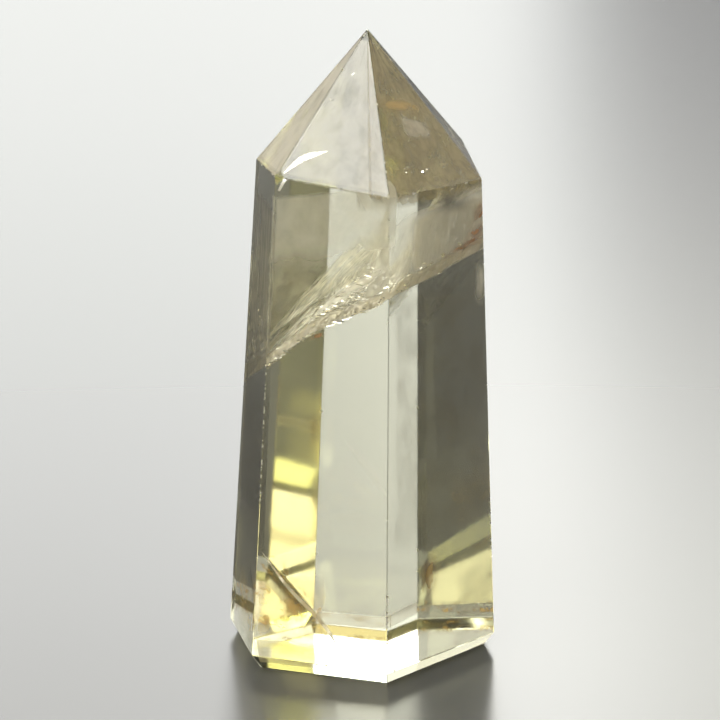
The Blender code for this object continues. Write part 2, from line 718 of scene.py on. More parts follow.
class WispGroup(SharedGroup):
    """The node group that every cloudy or stained finish reads its broken-up cover from."""

    NAME = "wisps"

    @classmethod
    def fill(cls, nodes: NodeBuilder) -> None:
        """Build the nodes: long streaks and large clouds added, cut off softly, times the sheet's own cover.

        Args:
            nodes: Builds in the group's tree.
        """
        given = nodes.sockets(
            {"Grain": "Vector", "Place": "Vector", "Cover": "Float", "Streak Scale": "Vector",
             "Cloud Scale": "Float", "Low": "Float", "High": "Float", "Thickness": "Float"},
            {"Mask": "Float", "Streaks": "Float"},
        )
        stretched = nodes.work_out(Step.MULTIPLY_VECTORS, given["Grain"], given["Streak Scale"])
        streaks = nodes.add(
            "ShaderNodeTexNoise", Vector=stretched, Scale=1.0, Detail=5.0, Roughness=0.62, Distortion=0.35
        ).outputs["Fac"]
        clouds = nodes.add(
            "ShaderNodeTexNoise", Vector=given["Place"], Scale=given["Cloud Scale"], Detail=3.0,
            Roughness=0.55,
        ).outputs["Fac"]
        ramp = nodes.add(
            "ShaderNodeMapRange", {"interpolation_type": "SMOOTHSTEP"},
            Value=nodes.work_out(Step.ADD, streaks, clouds), From_Min=given["Low"], From_Max=given["High"],
        )
        covered = nodes.work_out(Step.MULTIPLY, ramp.outputs["Result"], given["Cover"])
        mask = nodes.work_out(Step.MULTIPLY, covered, given["Thickness"])
        mask.node.use_clamp = True
        nodes.add("NodeGroupOutput", Mask=mask, Streaks=streaks)


class GlitterGroup(SharedGroup):
    """The node group that gives every tiny flaw in a cloudy layer a facing of its own."""

    NAME = "glitter"

    @classmethod
    def fill(cls, nodes: NodeBuilder) -> None:
        """Build the nodes: one random tilt for each small cell, added to the common facing.

        Args:
            nodes: Builds in the group's tree.
        """
        given = nodes.sockets(
            {"Grain": "Vector", "Stretch": "Vector", "Facing": "Vector", "Spread": "Float"},
            {"Normal": "Vector"},
        )
        stretched = nodes.work_out(Step.MULTIPLY_VECTORS, given["Grain"], given["Stretch"])
        cells = nodes.add("ShaderNodeTexVoronoi", Vector=stretched, Scale=1.0, Randomness=1.0)
        centred = nodes.work_out(Step.SUBTRACT_VECTORS, cells.outputs["Color"], (0.5, 0.5, 0.5))
        tilt = nodes.work_out(Step.SCALE, centred, given["Spread"])
        turned = nodes.work_out(Step.ADD_VECTORS, tilt, given["Facing"])
        nodes.add("NodeGroupOutput", Normal=nodes.work_out(Step.NORMALIZE, turned))


@dataclass(frozen=True)
class Flakes:
    """Small, bright cleavage flakes scattered over a sheet, each turned its own way."""

    name: str
    per_square_metre: float
    long_side: float
    short_side: float
    facing: Facing
    spread_deg: float = 28.0
    smallest: float = 0.25
    gather: str = CORE
    seed: int = 3
    sway_shares: Place = (1.0, 1.0, 1.6)

    def tree(self) -> bpy.types.NodeTree:
        """Build the scattering tree.

        Returns:
            A Geometry Nodes tree with the flakes' sizes and finish as its inputs.
        """
        nodes = NodeBuilder(bpy.data.node_groups.new(self.name, "GeometryNodeTree"))
        given = nodes.sockets(
            {"Sheet": "Geometry", "Gather": "String", "Density": "Float", "Long Side": "Float",
             "Short Side": "Float", "Facing": "Vector", "Spread": "Float", "Smallest": "Float",
             "Seed": "Int", "Finish": "Material"},
            {"Flakes": "Geometry"},
        )
        core = nodes.add("GeometryNodeInputNamedAttribute", {"data_type": "FLOAT"}, Name=given["Gather"])
        points = nodes.add(
            "GeometryNodeDistributePointsOnFaces",
            Mesh=given["Sheet"],
            Density=nodes.work_out(Step.MULTIPLY, core.outputs["Attribute"], given["Density"]),
            Seed=given["Seed"],
        )
        flake = nodes.add(
            "GeometryNodeMeshGrid", Vertices_X=2, Vertices_Y=2, Size_X=given["Long Side"],
            Size_Y=given["Short Side"],
        )
        turn = nodes.add("FunctionNodeAlignRotationToVector", {"axis": "Z"}, Vector=given["Facing"])
        least_sway = tuple(-share for share in self.sway_shares)
        jitter = nodes.add(
            "FunctionNodeRandomValue",
            {"data_type": "FLOAT_VECTOR"},
            Min=nodes.work_out(Step.SCALE, least_sway, given["Spread"]),
            Max=nodes.work_out(Step.SCALE, self.sway_shares, given["Spread"]),
            Seed=given["Seed"],
        )
        sway = nodes.add("FunctionNodeEulerToRotation", Euler=jitter.outputs["Value"])
        turned = nodes.add(
            "FunctionNodeRotateRotation", {"rotation_space": "LOCAL"}, Rotation=turn.outputs["Rotation"],
            Rotate_By=sway.outputs["Rotation"],
        )
        size = nodes.add("FunctionNodeRandomValue", {"data_type": "FLOAT"}, Seed=given["Seed"])
        least, most = [socket for socket in size.inputs if socket.type == "VALUE"][:2]
        nodes.feed(least, given["Smallest"])
        nodes.feed(most, 1.0)
        placed = nodes.add(
            "GeometryNodeInstanceOnPoints",
            Points=points.outputs["Points"],
            Instance=flake.outputs["Mesh"],
            Rotation=turned.outputs["Rotation"],
            Scale=next(socket for socket in size.outputs if socket.type == "VALUE"),
        )
        nodes.put_out("Flakes", placed.outputs["Instances"], given["Finish"])
        return nodes.tree

    def scatter(self, sheet: Sheet, finish: bpy.types.Material) -> bpy.types.Object:
        """Scatter the flakes over a sheet and dress them.

        Args:
            sheet: The sheet, whose attributes say where flakes gather.
            finish: The flakes' material.

        Returns:
            One piece with all the flakes, trimmed to the stone.
        """
        values = {
            "Gather": self.gather,
            "Density": self.per_square_metre,
            "Long Side": self.long_side,
            "Short Side": self.short_side,
            "Facing": self.facing.value,
            "Spread": math.radians(self.spread_deg),
            "Smallest": self.smallest,
            "Seed": self.seed,
            "Finish": finish,
        }
        mesh = grown(self.name, sheet.build(), self.tree(), values)
        body = bmesh.new()
        body.from_mesh(mesh)
        StoneShape().trim(body)
        body.to_mesh(mesh)
        body.free()
        return dress(link(self.name, mesh))


def grown(
    name: str, base: bpy.types.Mesh, tree: bpy.types.NodeTree, values: dict[str, object]
) -> bpy.types.Mesh:
    """Run a Geometry Nodes tree on a mesh and keep the result as a plain mesh.

    Args:
        name: The result's name.
        base: The mesh that the tree starts from.
        tree: The tree.
        values: The tree's input values by input name.

    Returns:
        The plain mesh.
    """
    holder = link(name + "_base", base)
    modifier = holder.modifiers.new(name, "NODES")
    modifier.node_group = tree
    for item in tree.interface.items_tree:
        if item.item_type == "SOCKET" and item.in_out == "INPUT" and item.name in values:
            modifier[item.identifier] = values[item.name]
    graph = bpy.context.evaluated_depsgraph_get()
    mesh = bpy.data.meshes.new_from_object(holder.evaluated_get(graph), depsgraph=graph)
    mesh.name = name
    bpy.data.objects.remove(holder)
    return mesh


@dataclass(frozen=True)
class FlakeFinish:
    """Bright cleavage faces, which mirror the light like foil."""

    name: str = "cleavage_flake"
    colour: Colour = (1.0, 0.96, 0.85)
    roughness: float = 0.14
    mottle_scale: float = 2500.0
    least_share: float = 0.5
    most_share: float = 1.6

    def build(self) -> bpy.types.Material:
        """Build the material.

        Returns:
            A bright, slightly mottled mirror.
        """
        material, nodes, shader = start_material(self.name, Metallic=1.0, Base_Color=rgba(self.colour))
        place = nodes.add("ShaderNodeTexCoord").outputs["Object"]
        mottle = nodes.add("ShaderNodeTexNoise", Vector=place, Scale=self.mottle_scale, Detail=2.0)
        spread = nodes.add(
            "ShaderNodeMapRange", Value=mottle.outputs["Fac"], To_Min=self.roughness * self.least_share,
            To_Max=self.roughness * self.most_share,
        )
        nodes.give(shader, Roughness=spread.outputs["Result"])
        return material


@dataclass(frozen=True)
class CloudyFinish:
    """A thin layer of tiny flaws in the stone, which scatters light both ways and breaks up into wisps."""

    name: str
    pale: Hue
    deep: Hue
    streak_scale: Place = (1.6, 0.22, 1.0)
    cloud_scale: float = 260.0
    low: float = 0.75
    high: float = 1.25
    thickness: float = 0.8
    let_through: float = 0.6
    roughness: float = 0.6
    metallic: float = 0.0
    facing: Facing = Facing.MIDDLE
    facing_spread: float = 0.8
    flaw_stretch: Place = (6.0, 1.2, 1.0)

    def build(self) -> bpy.types.Material:
        """Build the material.

        Returns:
            A material that is clear outside its wisps.
        """
        material, nodes, shader = start_material(
            self.name, Roughness=self.roughness, Metallic=self.metallic
        )
        cover = nodes.add("ShaderNodeAttribute", {"attribute_name": COVER})
        grain = nodes.add("ShaderNodeUVMap", {"uv_map": GRAIN}).outputs["UV"]
        wisps = nodes.add(
            "ShaderNodeGroup",
            {"node_tree": WispGroup.get()},
            Grain=grain,
            Place=nodes.add("ShaderNodeTexCoord").outputs["Object"],
            Cover=cover.outputs["Fac"],
            Streak_Scale=self.streak_scale,
            Cloud_Scale=self.cloud_scale,
            Low=self.low,
            High=self.high,
            Thickness=self.thickness,
        )
        if self.metallic > 0.0:
            glitter = nodes.add(
                "ShaderNodeGroup", {"node_tree": GlitterGroup.get()}, Grain=grain, Stretch=self.flaw_stretch,
                Facing=self.facing.value, Spread=self.facing_spread,
            )
            nodes.give(shader, Normal=glitter.outputs["Normal"])
        colour = nodes.add(
            "ShaderNodeMix", {"data_type": "RGBA"}, Factor=wisps.outputs["Streaks"],
            A=rgba(self.deep.value), B=rgba(self.pale.value),
        ).outputs["Result"]
        nodes.give(shader, Base_Color=colour)
        through = nodes.add("ShaderNodeBsdfTranslucent", Color=colour)
        both_ways = nodes.mix(self.let_through, shader, through)
        broken = nodes.mix(wisps.outputs["Mask"], nodes.add("ShaderNodeBsdfTransparent"), both_ways)
        nodes.give(nodes.tree.nodes["Material Output"], Surface=broken.outputs["Shader"])
        return material


def shifted(places: Sequence[Place], shift: Place) -> tuple[Place, ...]:
    """Return places moved by the same shift."""
    return tuple(tuple(a + b for a, b in zip(place, shift)) for place in places)


def lay(sheets: Sequence[Sheet], finish: CloudyFinish) -> list[bpy.types.Object]:
    """Build and dress sheets that share a finish.

    Args:
        sheets: The sheets.
        finish: Their finish.

    Returns:
        The finished pieces.
    """
    material = finish.build()
    pieces = []
    for sheet in sheets:
        mesh = sheet.build()
        mesh.materials.append(material)
        pieces.append(dress(link(sheet.name, mesh)))
    return pieces


@dataclass
class HealedFracture:
    """The veil across the upper part: leaves that fan up and back from a crisp lower rim."""

    rim: tuple[Place, ...] = (
        (-15.2, 2.0, 33.0),
        (-14.5, -0.2, 34.8),
        (-13.2, -6.0, 37.8),
        (-12.1, -10.5, 40.3),
        (-10.1, -11.6, 42.2),
        (-7.4, -12.3, 44.6),
        (-5.0, -13.0, 46.1),
        (-1.8, -13.8, 47.9),
        (1.3, -14.7, 49.4),
        (2.8, -15.1, 50.6),
        (6.2, -11.6, 51.3),
        (8.6, -9.3, 51.6),
        (10.4, -7.5, 52.2),
        (14.6, -3.4, 53.0),
    )
    right_rim: tuple[Place, ...] = (
        (-3.4, -12.2, 48.5),
        (0.8, -13.1, 50.1),
        (3.9, -12.7, 51.2),
        (6.0, -10.7, 51.7),
        (8.4, -8.4, 52.1),
        (10.4, -6.5, 52.7),
        (14.2, -2.8, 53.5),
        (16.6, -0.4, 54.1),
    )
    right_head: tuple[Place, ...] = (
        (0.5, -12.9, 60.5),
        (4.2, -12.1, 61.5),
        (7.4, -9.0, 61.5),
        (9.6, -6.9, 61.5),
        (11.6, -4.9, 61.5),
        (13.6, -3.2, 61.5),
        (16.0, -0.9, 62.0),
        (19.6, 2.6, 62.8),
    )
    rise: Place = (17.0, 13.5, 15.5)
    right_rise: Place = (8.0, 16.0, 15.0)
    right_from: float = 0.0
    band_rise: Place = (1.0, 1.5, 2.2)
    veil: CloudyFinish = CloudyFinish(
        "healed_veil", Hue.CREAM, Hue.CHAMPAGNE, streak_scale=(2.6, 0.3, 1.0), low=0.7, high=1.15,
        thickness=0.95, let_through=0.35, roughness=0.3, metallic=0.85, facing=Facing.FRONT,
        facing_spread=0.38,
    )
    band: CloudyFinish = CloudyFinish(
        "healed_rim", Hue.CREAM, Hue.STRAW, low=0.45, high=1.0, thickness=0.9, let_through=0.4,
        roughness=0.38, metallic=0.7, facing_spread=0.6, flaw_stretch=(4.0, 3.0, 1.0),
    )
    milk: CloudyFinish = CloudyFinish(
        "healed_milk", Hue.CREAM, Hue.CHAMPAGNE, streak_scale=(0.9, 0.14, 1.0), low=0.3, high=1.1,
        thickness=0.85, let_through=0.4, roughness=0.4, metallic=0.7, facing=Facing.MILK, facing_spread=0.45,
    )
    core: CloudyFinish = CloudyFinish(
        "healed_core", Hue.CREAM, Hue.CHAMPAGNE, streak_scale=(1.8, 0.22, 1.0), low=0.15, high=0.85,
        thickness=0.75, let_through=0.35, roughness=0.34, metallic=0.9, facing=Facing.FRONT,
        facing_spread=0.4,
    )
    pale_milk: CloudyFinish = CloudyFinish(
        "healed_pale_milk", Hue.CREAM, Hue.CHAMPAGNE, streak_scale=(0.9, 0.12, 1.0), low=0.0, high=0.75,
        thickness=0.8, let_through=0.4, roughness=0.38, metallic=0.85, facing=Facing.FRONT_RIGHT,
        facing_spread=0.35,
    )
    haze: CloudyFinish = CloudyFinish(
        "healed_haze", Hue.CREAM, Hue.CHAMPAGNE, streak_scale=(0.22, 0.12, 1.0), cloud_scale=150.0,
        low=0.1, high=1.3, thickness=0.6, let_through=0.5,
    )
    glints: Flakes = Flakes("veil_glints", 10_000_000.0, 0.0011, 0.00013, Facing.FRONT, 15.0)
    core_glints: Flakes = Flakes(
        "core_glints", 1_600_000.0, 0.0009, 0.00012, Facing.FRONT, 17.0, 0.3, COVER, 5
    )
    line_glints: Flakes = Flakes("rim_glints", 1_600_000.0, 0.0007, 0.0003, Facing.RIM, gather=COVER)

    def leaf(self, name: str, shift: Place, rise: Place, seed: float) -> Sheet:
        """Describe one leaf of the veil.

        Args:
            name: The leaf's name.
            shift: How far its lower edge stands from the rim, in millimetres.
            rise: The way and the length of its rulings, in millimetres.
            seed: Picks the leaf's own waves.

        Returns:
            The leaf.
        """
        foot = shifted(self.rim, shift)
        head = tuple(
            tuple(p + r for p, r in zip(place, rise if place[0] < self.right_from else self.right_rise))
            for place in foot
        )
        return Sheet(name, foot, head, seed=seed)

    def build(self) -> list[bpy.types.Object]:
        """Build and dress the veil.

        Returns:
            The finished pieces.
        """
        leaves = (
            self.leaf("veil_front", (0.0, 0.25, 0.0), self.rise, 0.0),
            self.leaf("veil_middle", (1.0, 3.0, 1.5), (15.0, 12.0, 14.0), 7.0),
            self.leaf("veil_back", (2.2, 6.5, 3.4), (13.0, 10.0, 12.0), 13.0),
        )
        pieces = lay(leaves, self.veil)
        rim = shifted(self.rim, (0.0, 0.3, 0.0))
        band = Sheet(
            "veil_rim_band", rim, shifted(rim, self.band_rise), rows=8, wave_height=0.2, side_fade=0.04,
            foot_fade=0.06, head_fade=0.5,
        )
        pieces += lay([band], self.band)
        milk = Sheet(
            "veil_milk", self.right_rim, self.right_head, wave_height=0.25, side_fade=0.3, far_fade=0.02,
            foot_fade=0.06, head_fade=0.22,
        )
        pieces += lay([milk], self.milk)
        foot = ((4.6, -12.0, 50.6), (6.4, -10.4, 50.9), (10.1, -6.8, 51.8), (13.9, -3.1, 53.2))
        head = ((5.0, -11.6, 61.0), (7.1, -9.6, 61.3), (10.6, -6.2, 61.3), (14.4, -2.6, 61.6))
        right = Sheet(
            "veil_milk_right", foot, head, wave_height=0.12, side_fade=0.25, far_fade=0.02, foot_fade=0.12,
            head_fade=0.3, seed=9.0,
        )
        pieces += lay([right], self.pale_milk)
        above = ((-11.2, -9.6, 50.5), (-4.0, -11.8, 52.0), (3.2, -13.6, 54.0))
        haze = Sheet(
            "veil_upper_haze", above, shifted(above, (0.6, 0.2, 11.5)), side_fade=0.04, foot_fade=0.5,
            head_fade=0.04, wave_height=0.2, seed=5.0,
        )
        pieces += lay([haze], self.haze)
        edge = Sheet.patch("veil_edge_patch", (13.5, -2.8, 48.6), (0.7, 0.7, 0.0), (0.0, 0.0, 3.4))
        pieces += lay([edge], replace(self.milk, name="healed_edge"))
        foil = FlakeFinish().build()
        pieces.append(self.glints.scatter(leaves[0], foil))
        core = Sheet.patch("veil_core", (-1.7, -12.7, 51.3), (4.4, -1.1, 2.9), (1.9, -0.2, 2.3), seed=4.0)
        pieces += lay([core], self.core)
        near = Sheet.patch("near_core", (-1.7, -12.85, 51.2), (3.8, -0.95, 2.5), (1.6, -0.2, 1.9), seed=4.0)
        pieces.append(self.core_glints.scatter(near, foil))
        line = shifted(self.right_rim[2:], (0.2, -0.6, 1.4))
        strip = Sheet("rim_line", line, shifted(line, (0.2, 0.2, 0.7)), rows=4, foot_fade=0.3, head_fade=0.3)
        pieces.append(self.line_glints.scatter(strip, foil))
        return pieces


@dataclass
class TipHaze:
    """The murk behind the tip faces, left by layers of tiny flaws, and a patch of painted yellow light
    refracted in the tip.
    """

    top: Place = (0.4, -0.6, 79.8)
    back_corner: Place = (-13.2, 0.4, 63.3)
    side_corner: Place = (-10.7, -11.2, 64.9)
    left_corner: Place = (2.9, -15.1, 63.4)
    tip_share: float = 0.02
    fan_cells: int = 24
    fan_fade: float = 0.001
    murk: CloudyFinish = CloudyFinish(
        "tip_murk", Hue.OLIVE, Hue.DEEP_OLIVE, streak_scale=(0.5, 0.35, 1.0), cloud_scale=330.0,
        low=0.5, high=1.3, thickness=0.8, let_through=0.6,
    )
    mist: CloudyFinish = CloudyFinish(
        "tip_mist", Hue.PALE_GREY, Hue.WARM_GREY, streak_scale=(0.4, 0.3, 1.0), cloud_scale=200.0,
        low=0.2, high=1.2, thickness=0.8, let_through=0.5,
    )
    # Painted light: an amber sheet that stands for yellow light refracted in the tip.
    amber: CloudyFinish = CloudyFinish(
        "tip_amber", Hue.AMBER, Hue.HONEY, streak_scale=(0.5, 0.8, 1.0), cloud_scale=400.0, low=0.4,
        high=1.1, thickness=0.6, let_through=0.6,
    )

    def fan(self, name: str, foot: tuple[Place, ...], drop: float, seed: float) -> Sheet:
        """Describe a sheet that narrows from just under a shoulder to the tip.

        Args:
            name: The sheet's name.
            foot: Its lower edge, in millimetres.
            drop: How far below the tip it ends, in millimetres.
            seed: Picks its waves.

        Returns:
            The sheet.
        """
        end = (self.top[0], self.top[1], self.top[2] - drop)
        head = tuple(tuple(e + self.tip_share * (f - e) for e, f in zip(end, place)) for place in foot)
        return Sheet(
            name, foot, head, columns=self.fan_cells, rows=self.fan_cells, wave_height=0.0,
            side_fade=self.fan_fade, foot_fade=self.fan_fade, head_fade=self.fan_fade, seed=seed,
        )

    def build(self) -> list[bpy.types.Object]:
        """Build and dress the haze.

        Returns:
            The finished pieces.
        """
        right = ((0.9, -16.1, 63.3), (15.2, -1.9, 61.3))
        left = shifted((self.side_corner, self.left_corner), (0.07, 0.34, -0.29))
        narrow = shifted((self.back_corner, self.side_corner), (0.35, 0.04, -0.28))
        pieces = lay(
            [self.fan("tip_murk_right", shifted(right, (-0.7, 0.6, -0.7)), 0.3, 2.0),
             self.fan("tip_murk_deep", shifted(right, (-2.0, 2.0, -2.0)), 3.0, 5.0)],
            self.murk,
        )
        # A patch of painted, refracted yellow light in the tip.
        wedge = Sheet.patch("tip_amber", (4.3, -4.4, 71.3), (3.4, 2.3, -1.2), (-0.35, 0.25, 1.2))
        pieces += lay([wedge], self.amber)
        pieces += lay(
            [self.fan("tip_mist_left", left, 0.4, 8.0), self.fan("tip_mist_narrow", narrow, 0.6, 11.0)],
            self.mist,
        )
        return pieces


@dataclass
class FootStains:
    """Amber and brown staining round the foot."""

    amber: CloudyFinish = CloudyFinish(
        "amber_stain", Hue.AMBER, Hue.HONEY, streak_scale=(0.16, 0.24, 1.0), cloud_scale=230.0,
        low=0.4, high=1.5, thickness=0.55, let_through=0.7,
    )
    brown: CloudyFinish = CloudyFinish(
        "brown_stain", Hue.HONEY, Hue.OCHRE, streak_scale=(1.1, 0.9, 1.0), cloud_scale=600.0,
        low=0.7, high=1.1, thickness=0.85, let_through=0.6,
    )
    ochre: CloudyFinish = replace(
        brown, name="ochre_fringe", streak_scale=(0.9, 0.8, 1.0), low=0.85, high=1.25, thickness=0.7
    )
    cloud: CloudyFinish = CloudyFinish(
        "brown_cloud", Hue.OCHRE, Hue.BROWN, streak_scale=(0.4, 0.5, 1.0), cloud_scale=350.0,
        low=0.5, high=1.2, thickness=0.75, let_through=0.6,
    )
    ash: CloudyFinish = CloudyFinish(
        "base_ash", Hue.WARM_GREY, Hue.BEIGE, streak_scale=(0.3, 0.6, 1.0), cloud_scale=160.0,
        low=0.05, high=0.8, thickness=0.45, let_through=0.6,
    )
    base: CloudyFinish = CloudyFinish(
        "base_haze", Hue.STRAW, Hue.OLIVE, streak_scale=(0.12, 0.4, 1.0), cloud_scale=160.0,
        low=0.1, high=1.3, thickness=0.75, let_through=0.6,
    )

    def build(self) -> list[bpy.types.Object]:
        """Build and dress the stains.

        Returns:
            The finished pieces.
        """
        front = ((-13.4, -9.3, 4.4), (-9.0, -10.9, 4.6), (-5.2, -12.0, 4.9))
        pieces = lay(
            [
                Sheet("amber_left", front, shifted(front, (0.4, 0.2, 9.6)), side_fade=0.06, foot_fade=0.1,
                      head_fade=0.35),
                Sheet("amber_side", ((-15.6, -1.0, 2.6), (-13.4, -9.6, 3.0)),
                      ((-15.3, -1.0, 12.0), (-13.1, -9.6, 12.0)), side_fade=0.2, foot_fade=0.15,
                      head_fade=0.4, seed=4.0),
            ],
            self.amber,
        )
        pieces += lay(
            [
                Sheet.patch("brown_left", (-12.4, -9.0, 10.6), (1.5, -0.4, -0.3), (0.0, 0.2, 1.2)),
                Sheet.patch("brown_middle", (-8.8, -9.8, 8.8), (1.6, -0.5, -0.8), (0.2, 0.2, 1.9), seed=3.0),
                Sheet.patch("brown_low", (-12.6, -9.6, 7.2), (1.2, -0.3, -0.3), (0.0, 0.2, 1.2), seed=9.0),
            ],
            self.brown,
        )
        right = Sheet.patch("brown_right", (6.9, -7.6, 12.2), (1.3, 1.3, 1.4), (-0.6, -0.5, 3.2), seed=6.0)
        pieces += lay([right], self.cloud)
        low = ((-13.4, -9.9, 0.9), (-8.0, -11.8, 0.8), (-3.6, -13.2, 0.8))
        haze = Sheet(
            "base_haze_left", low, shifted(low, (-0.2, 0.1, 4.2)), side_fade=0.05, foot_fade=0.1,
            head_fade=0.2,
        )
        pieces += lay([haze], self.base)
        middle = ((-6.4, -12.3, 7.3), (2.0, -14.7, 7.7), (2.7, -14.5, 7.7), (6.0, -11.2, 8.2))
        ash = Sheet(
            "base_haze_middle", middle, shifted(middle, (0.0, 0.0, 2.3)), rows=12, wave_height=0.1,
            side_fade=0.03, foot_fade=0.2, head_fade=0.3,
        )
        pieces += lay([ash], self.ash)
        rear = ((-10.0, 8.8, 0.9), (-3.6, 14.9, 0.8), (4.5, 12.9, 0.8), (12.4, 10.3, 0.8))
        fringe = Sheet(
            "ochre_fringe", rear, shifted(rear, (0.0, -0.2, 1.3)), rows=8, side_fade=0.05, foot_fade=0.35,
            head_fade=0.5,
        )
        pieces += lay([fringe], self.ochre)
        return pieces


@dataclass
class IronStains:
    """Orange-red iron in the veil's right end, and a little on its left."""

    rust: CloudyFinish = CloudyFinish(
        "rust_stain", Hue.RUST, Hue.DARK_RUST, streak_scale=(0.9, 0.7, 1.0), cloud_scale=420.0,
        low=0.6, high=1.3, thickness=0.9, let_through=0.55,
    )

    def build(self) -> list[bpy.types.Object]:
        """Build and dress the stains.

        Returns:
            The finished pieces.
        """
        places = (
            ("rust_upper", (13.0, -4.2, 55.6), (1.2, 1.2, 0.4), (0.1, 0.0, 1.0)),
            ("rust_right", (12.4, -4.6, 54.0), (1.5, 1.5, 0.4), (0.1, 0.0, 1.1)),
            ("rust_edge", (13.6, -3.7, 57.4), (0.8, 0.8, 0.1), (0.1, 0.0, 2.0)),
            ("rust_streak", (10.8, -6.4, 53.9), (2.4, 2.3, 0.6), (0.1, 0.0, 0.5)),
            ("rust_left", (-5.9, -12.4, 45.2), (1.2, -0.3, 0.5), (0.0, 0.1, 0.5)),
        )
        return lay([Sheet.patch(*place, seed=float(index)) for index, place in enumerate(places)], self.rust)


@dataclass
class FineFlaws:
    """The slender cracks, the small inclusion, the smoky patch and the loose glints, with dark sheets of
    painted shade on the narrow side and the right side.
    """

    hair: CloudyFinish = CloudyFinish(
        "hair_crack", Hue.CREAM, Hue.STRAW, streak_scale=(0.25, 3.0, 1.0), cloud_scale=200.0,
        low=0.1, high=0.9, thickness=0.9, let_through=0.4, roughness=0.35, metallic=0.8,
        facing=Facing.FRONT, facing_spread=0.5, flaw_stretch=(0.8, 6.0, 1.0),
    )
    flare: CloudyFinish = CloudyFinish(
        "flare", Hue.PALE_GREY, Hue.CREAM, low=-0.6, high=0.6, thickness=1.0, let_through=0.15,
        roughness=0.3, metallic=0.9, facing=Facing.SHOULDER, facing_spread=0.25,
    )
    smoke: CloudyFinish = CloudyFinish(
        "smoke", Hue.SMOKE, Hue.SHADE, streak_scale=(0.8, 0.7, 1.0), cloud_scale=500.0, low=0.6,
        high=1.2, thickness=0.7, let_through=0.6,
    )
    stripe: CloudyFinish = CloudyFinish(
        "side_stripes", Hue.WARM_GREY, Hue.SMOKE, streak_scale=(1.6, 0.09, 1.0), cloud_scale=150.0,
        low=0.55, high=1.15, thickness=0.7, let_through=0.6,
    )
    # Faint stripes on a dark sheet; its darkness is painted shade on the lower narrow side.
    shade: CloudyFinish = CloudyFinish(
        "side_shade", Hue.SMOKE, Hue.SHADE, streak_scale=(1.4, 0.07, 1.0), cloud_scale=150.0,
        low=0.1, high=1.1, thickness=0.6, let_through=0.6,
    )
    # A dark sheet of painted shade over the right part of the stone.
    dusk: CloudyFinish = CloudyFinish(
        "side_dusk", Hue.DEEP_OLIVE, Hue.SHADE, streak_scale=(0.35, 0.25, 1.0), cloud_scale=260.0,
        low=0.5, high=1.5, thickness=0.4, let_through=0.5,
    )
    pearl: CloudyFinish = CloudyFinish(
        "inclusion", Hue.CREAM, Hue.BEIGE, streak_scale=(0.8, 0.8, 1.0), cloud_scale=700.0,
        low=0.4, high=1.1, thickness=0.6, let_through=0.4, roughness=0.4, metallic=0.3,
        facing=Facing.TIP_RIGHT, facing_spread=0.8,
    )
    speck: Flakes = Flakes("specks", 1_200_000.0, 0.00014, 0.00007, Facing.FRONT_RIGHT, 60.0, 0.3, COVER)
    spark: Flakes = Flakes("spark", 9_000_000.0, 0.0005, 0.0002, Facing.FRONT, 20.0, 0.3, COVER)

    def build(self) -> list[bpy.types.Object]:
        """Build and dress the flaws and the sheets of painted shade.

        Returns:
            The finished pieces.
        """
        needle = ((-12.8, -10.8, 16.5), (-9.8, -10.9, 11.9), (-5.4, -11.2, 7.1), (-3.2, -10.9, 4.0))
        beside = ((-12.8, -10.8, 16.5), (-9.5, -10.9, 12.3), (-4.9, -11.2, 7.5), (-3.2, -10.9, 4.0))
        blade = ((-9.75, -10.95, 65.05), (-7.15, -10.2, 66.35), (-4.35, -9.9, 67.55))
        back = ((-9.75, -10.85, 65.15), (-7.4, -9.75, 67.1), (-4.35, -9.8, 67.65))
        thin = {"rows": 6, "wave_height": 0.05, "side_fade": 0.05}
        crack = Sheet("needle_crack", needle, beside, foot_fade=0.05, head_fade=0.05, **thin)
        pieces = lay([crack], self.hair)
        pieces += lay(
            [
                Sheet("shoulder_flare", ((-9.7, -11.25, 64.7), (-10.45, -11.05, 63.1)),
                      ((-9.25, -11.38, 64.6), (-10.1, -11.15, 63.0)), rows=6, wave_height=0.03, foot_fade=0.1,
                      head_fade=0.1),
                Sheet("shoulder_feather", blade, back, foot_fade=0.1, head_fade=0.1, **thin),
            ],
            self.flare,
        )
        edge = ((-14.6, -6.0, 13.4), (-14.2, -8.4, 11.4), (-13.6, -10.8, 9.2))
        gape = ((-14.6, -6.0, 13.5), (-14.0, -8.2, 12.6), (-13.6, -10.8, 9.3))
        pieces += lay(
            [
                Sheet("side_crack", edge, gape, foot_fade=0.1, head_fade=0.1, **thin),
                Sheet.patch("smoky_patch", (9.9, -7.4, 60.4), (3.2, 3.1, -0.4), (0.2, 0.2, 1.7)),
            ],
            self.smoke,
        )
        stripes = Sheet(
            "side_stripes", ((-14.6, 0.6, 37.0), (-11.5, -10.0, 39.0)),
            ((-13.2, 0.3, 62.0), (-10.3, -10.0, 62.0)), wave_height=0.05, side_fade=0.1, foot_fade=0.3,
            head_fade=0.15,
        )
        pieces += lay([stripes], self.stripe)
        # The lower narrow side: faint stripes, darkened by painted shade.
        shade = Sheet(
            "side_shade", ((-15.8, 0.9, 12.0), (-12.6, -10.0, 12.0)),
            ((-14.2, 0.5, 44.0), (-11.1, -10.0, 44.0)), wave_height=0.05, side_fade=0.05, foot_fade=0.3,
            head_fade=0.4, seed=2.0,
        )
        pieces += lay([shade], self.shade)
